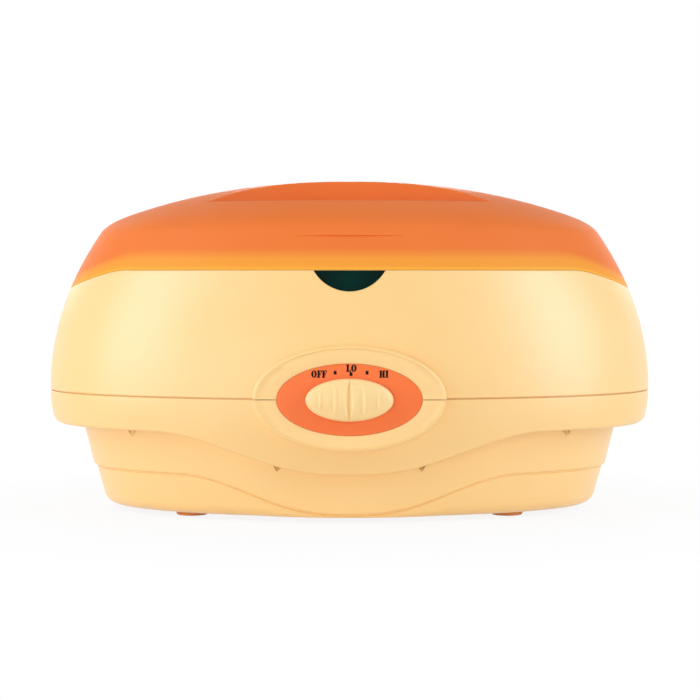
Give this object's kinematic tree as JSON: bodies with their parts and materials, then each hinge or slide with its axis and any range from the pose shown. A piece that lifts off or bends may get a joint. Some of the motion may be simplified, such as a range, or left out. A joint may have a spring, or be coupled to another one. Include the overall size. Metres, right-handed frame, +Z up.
{
  "type": "paraffin wax bath",
  "caption": "Oval bench-top wax heater: two-part plastic casing round a heated metal tank, slide heat control on the front, lift-out grille and lift-off lid with a moulded grip.",
  "frame": {"origin": "centre of the whole bath's box in plan, on the surface it stands on", "axes": "+X along the long axis of the oval, to the right seen from the front; +Y from the front, where the slide control is, to the back; +Z up"},
  "size_m": [0.372, 0.247, 0.2017],
  "materials": {
    "casing": "moulded cream-yellow ABS with a fine satin grain",
    "lid": "translucent orange polypropylene, satin",
    "dial": "moulded orange plastic with printed black marks",
    "lens": "smoked dark green acrylic, polished",
    "tank": "drawn and anodised aluminium",
    "grille": "moulded heat-proof plastic",
    "steel": "zinc-plated steel",
    "brass": "machined brass",
    "rubber": "moulded brown rubber",
    "black": "moulded black plastic",
    "fibre": "pressed ceramic-fibre board",
    "copper": "drawn copper",
    "nylon": "moulded natural nylon",
    "silicone": "moulded red silicone",
    "board": "green glass-fibre circuit board",
    "lamp": "cast lamp body",
    "wire": "extruded insulation"
  },
  "bodies": {
    "base": {"upper_housing": "casing", "lower_housing": "casing", "dial_plate": "dial", "thermostat_body": "nylon", "thermostat_bracket": "steel", "bracket_screw_left": "steel", "bracket_screw_right": "steel", "capillary_tube": "copper", "sensor_bulb": "copper", "wax_tank": "tank", "tank_gasket": "silicone", "heating_element": "steel", "heater_clamp_plate": "tank", "insulation_pad": "fibre", "heat_shield": "steel", "thermal_cutout": "steel", "heater_nut_left_front": "steel", "heater_nut_left_rear": "steel", "heater_nut_right_front": "steel", "heater_nut_right_rear": "steel", "indicator_lens": "lens", "lamp_board": "board", "heating_lamp": "lamp", "ready_lamp": "lamp", "power_inlet": "black", "inlet_pin_live": "brass", "inlet_pin_neutral": "brass", "inlet_pin_earth": "brass", "inlet_screw_left": "steel", "inlet_screw_right": "steel", "live_wire": "wire", "thermostat_wire": "wire", "element_wire": "wire", "neutral_wire": "wire", "earth_wire": "wire", "lamp_wire": "wire", "foot_left_front": "rubber", "foot_left_rear": "rubber", "foot_right_front": "rubber", "foot_right_rear": "rubber", "casing_screw_front_left_outer": "steel", "casing_screw_front_right_outer": "steel", "casing_screw_rear_left_outer": "steel", "casing_screw_rear_right_outer": "steel", "casing_screw_front_left_inner": "steel", "casing_screw_front_right_inner": "steel", "casing_screw_rear_left_inner": "steel", "casing_screw_rear_right_inner": "steel"},
    "control": {"control_knob": "casing", "slider_carriage": "nylon"},
    "spindle": {"thermostat_spindle": "brass", "spindle_pinion": "nylon"},
    "grille": {"safety_grille": "grille"},
    "lid": {"lid": "lid"}
  },
  "joints": [
    {"name": "control_slide", "type": "slide", "parent": "base", "child": "control", "axis": [1, 0, 0], "range_m": [-0.0175, 0.0175]},
    {"name": "spindle_turn", "type": "hinge", "parent": "base", "child": "spindle", "pos_m": [0, -0.0959, 0.0788], "axis": [0, -1, 0], "range_deg": [-116, 116]},
    {"name": "grille_lift", "type": "slide", "parent": "base", "child": "grille", "axis": [0, 0, 1], "range_m": [0, 0.105]},
    {"name": "lid_lift", "type": "slide", "parent": "base", "child": "lid", "axis": [0, 0, 1], "range_m": [0, 0.12]}
  ],
  "couplings": [
    {"joint": "spindle_turn", "follows": "control_slide", "rad_per_m": 111.11}
  ]
}
